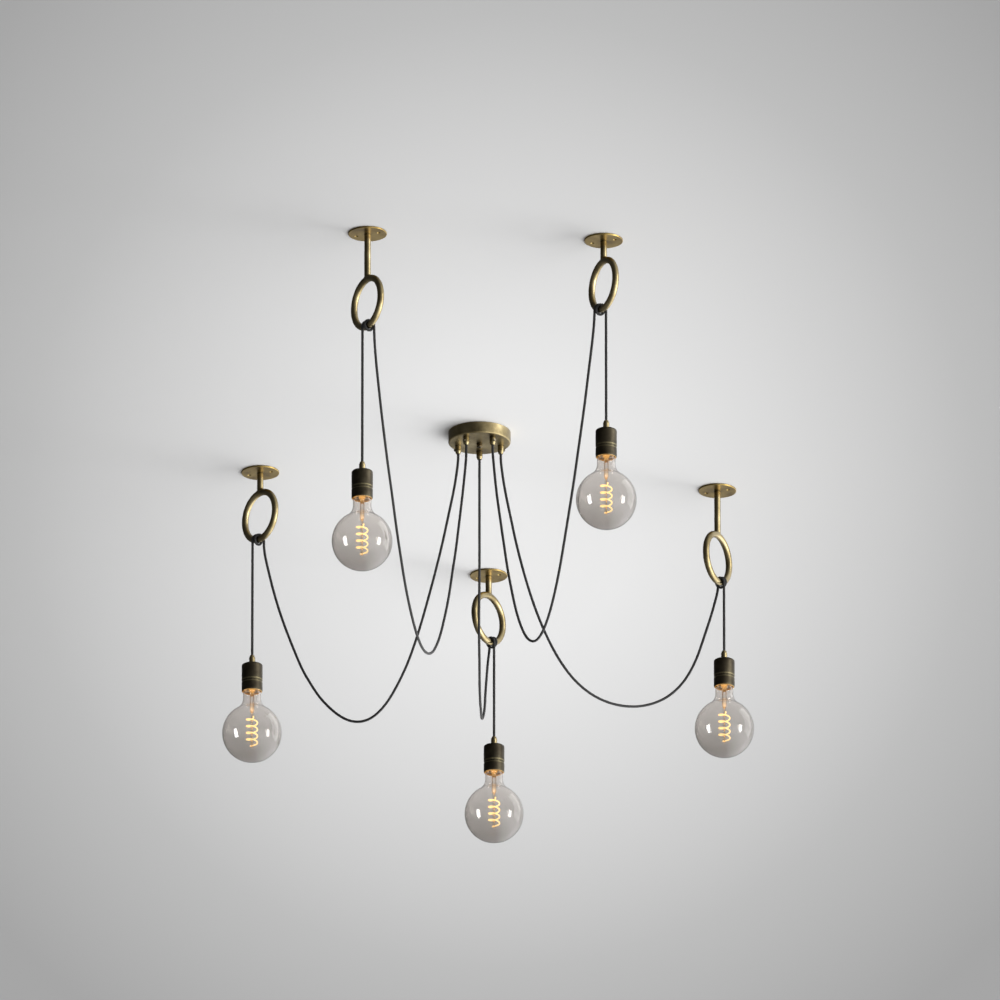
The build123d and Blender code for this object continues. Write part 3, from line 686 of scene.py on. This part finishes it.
# Cords: a swag with its turn round the ring, then two halves of the straight drop
for number, pendant in pendants.items():
    swing = drop_top(pendant) - plumb(bend_room)
    tilt = holder_top(pendant) + plumb(holder_grip_length)
    middle = (swing + tilt) / 2

    path = smooth_path(swag_line(number, pendant))
    laid = path_lengths(path)[-1]
    swag = tube(f"cord_swag_{number}", path, cord_diameter, cord_sides, "braided_cord")
    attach(swag, "canopy")
    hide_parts(f"swag_cord_{number}")

    upper_control = [drop_top(pendant), swing - plumb(bend_above), swing - plumb(bend_below), middle]
    path = smooth_path(upper_control)
    upper = tube(f"cord_upper_{number}", path, cord_diameter, cord_sides, "braided_cord", laid)
    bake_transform(upper)
    reach = path_lengths(path)[-1]

    foot = tilt - plumb(cord_in_holder)
    lower_control = [middle, tilt + plumb(bend_below), tilt + plumb(bend_above), foot]
    path = smooth_path(lower_control)
    lower = tube(f"cord_lower_{number}", path, cord_diameter, cord_sides, "braided_cord", laid + reach)
    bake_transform(lower)
    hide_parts(f"drop_cord_{number}")

# Bulbs: a smoked globe, the stem inside it and the two wires that feed the spiral
glass_pieces = []
for number, pendant in pendants.items():
    place = holder_top(pendant)
    skin = glass_outline(0) + list(reversed(glass_outline(glass_wall)))
    globe = lathe(f"globe_{number}", skin, place, glass_segments, "smoke_glass")
    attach(globe, f"bulb_{number}")
    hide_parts(f"bulb_glass_{number}")

    stem = lathe(f"glass_stem_{number}", stem_outline(), place, stem_segments, "stem_glass")
    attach(stem, f"bulb_{number}")
    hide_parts(f"bulb_glass_{number}")
    for piece in (globe, stem):
        piece.visible_shadow = False
        glass_pieces.append(piece)

    for side, end in ((1, spiral_top), (-1, spiral_foot)):
        wire_line = [
            place + Vector((side * wire_spread, 0, bulb_cap_foot)),
            place + Vector((side * wire_spread, 0, stem_foot + stem_radius)),
            place + Vector((side * spiral_end_radius, 0, stem_foot)),
            place + Vector((side * spiral_end_radius, 0, end)),
        ]
        name = f"bulb_wire_top_{number}" if side > 0 else f"bulb_wire_foot_{number}"
        wire = tube(name, smooth_path(wire_line), wire_diameter, wire_sides, "lead_wire")
        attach(wire, f"bulb_{number}")

# Finishes of the pieces that keep their solid's shape
finishes = {
    "aged_brass": ["cord_grips", "hook_eyes"],
    "canopy_brass": ["canopy_cover"],
    "plate_brass": ["hook_plates"],
    "dark_brass": ["cap_nut"],
    "zinc_steel": ["ceiling_bracket", "centre_stud"],
    "screw_steel": ["grip_fasteners"],
    "white_plastic": ["terminal_block"],
    "tail_rubber": ["lead_wires"],
}
pendant_finishes = {
    "aged_brass": ["holder_grip"],
    "cap_bronze": ["holder_cap"],
    "skirt_bronze": ["holder_skirt"],
    "porcelain": ["holder_insert"],
    "bulb_metal": ["bulb_contact", "bulb_cap"],
    "filament": ["bulb_filament"],
}
for finish, nodes in pendant_finishes.items():
    numbered = [f"{node}_{number}" for node in nodes for number in pendants]
    finishes[finish] = finishes.get(finish, []) + numbered
for finish, nodes in finishes.items():
    for node in nodes:
        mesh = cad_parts[node].data
        mesh.materials.clear()
        mesh.materials.append(materials[finish])

# Ceiling
ceiling_corners = []
for x, y in ((-1, -1), (-1, 1), (1, 1), (1, -1)):
    ceiling_corners.append(Vector((x * ceiling_reach, y * ceiling_reach, ceiling_height)))
ceiling = mesh_piece("ceiling", ceiling_corners, [(0, 1, 2, 3)], "ceiling_paint")
ceiling.visible_shadow = False
ceiling.visible_diffuse = False
ceiling.visible_glossy = False


def lamp(name, kind, direction, distance=1.0, **settings):
    """A lamp that shines along a direction at the object."""
    data = bpy.data.lights.new(name, kind)
    for key, value in settings.items():
        setattr(data, key, value)
    made = bpy.data.objects.new(name, data)
    made.location = view_target - direction.normalized() * distance
    made.rotation_euler = direction.to_track_quat("-Z", "Y").to_euler()
    made.visible_camera = False
    bpy.context.scene.collection.objects.link(made)
    return made


def from_view(turn, rise):
    """The direction of light that comes from turn degrees right of the camera and rise above its axis."""
    aside = sin(radians(turn)) * cos(radians(rise))
    behind = cos(radians(turn)) * cos(radians(rise))
    view_up = Vector((0, -sin(view_rise), cos(view_rise)))
    return view_line * behind - view_up * sin(radians(rise)) - Vector((aside, 0, 0))


# Light: a soft key from the right, cards that show in metal and glass, and a room brighter on the right
key = lamp("key", "SUN", Vector((-0.81, -0.31, 0.5)), energy=1.2, angle=radians(28))
key.visible_glossy = False
key.visible_transmission = False
metal_card = lamp(
    "metal_card", "AREA", from_view(70, 4), 6, shape="RECTANGLE", size=3.6, size_y=7.0, energy=300
)
left_card = lamp(
    "left_card", "AREA", from_view(-66, 0), 30, shape="RECTANGLE", size=8, size_y=16, energy=5600
)
right_card = lamp(
    "right_card", "AREA", from_view(66, 0), 30, shape="RECTANGLE", size=6.5, size_y=12, energy=2800
)
side_card = lamp(
    "side_card", "AREA", from_view(112, 14), 30, shape="RECTANGLE", size=22, size_y=36, energy=4000
)
glass_only = bpy.data.collections.new("glass")
for piece in glass_pieces:
    glass_only.objects.link(piece)
metal_only = bpy.data.collections.new("metal")
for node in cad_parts.values():
    if not node.hide_render:
        metal_only.objects.link(node)
for card in (left_card, right_card, side_card):
    card.light_linking.receiver_collection = glass_only
metal_card.light_linking.receiver_collection = metal_only
for card in (left_card, right_card, side_card, metal_card):
    card.visible_diffuse = False

# Room: dark on the left, bright on the right and from the floor, and plain grey where it is seen directly
world = bpy.data.worlds.new("studio")
bpy.context.scene.world = world
room = Nodes(world)
way = room.split(room.place("Generated"))
across = room.node("ShaderNodeMapRange", {"Value": way["X"], "From Min": -1.0}).outputs["Result"]
tone = room.ramp(across, (0.0, 0.06), (0.3, 0.08), (0.52, 0.22), (0.8, 1.1), (1.0, 1.5))
bounce_span = {"From Min": 0.1, "From Max": -0.4, "To Min": 1.0, "To Max": floor_bounce}
bounce = room.node("ShaderNodeMapRange", {"Value": way["Z"], **bounce_span}).outputs["Result"]
lifted = room.node("ShaderNodeVectorMath", {0: tone, "Scale": bounce}, operation="SCALE").outputs["Vector"]
ray = room.node("ShaderNodeLightPath").outputs
seen = room.math("MAXIMUM", ray["Is Camera Ray"], ray["Is Transmission Ray"])
shown = room.mix(seen, lifted, (backdrop_grey,) * 3)
room.feed(room.nodes["Background"].inputs["Color"], shown)

# Camera
camera_data = bpy.data.cameras.new("camera")
camera_data.sensor_width = sensor_width
camera_data.lens = sensor_width * view_distance / picture_width
camera_data.clip_end = 4 * view_distance
camera = bpy.data.objects.new("camera", camera_data)
camera.location = view_target - view_line * view_distance
camera.rotation_euler = view_line.to_track_quat("-Z", "Y").to_euler()
bpy.context.scene.collection.objects.link(camera)
bpy.context.scene.camera = camera
bpy.context.scene.view_settings.view_transform = "Standard"
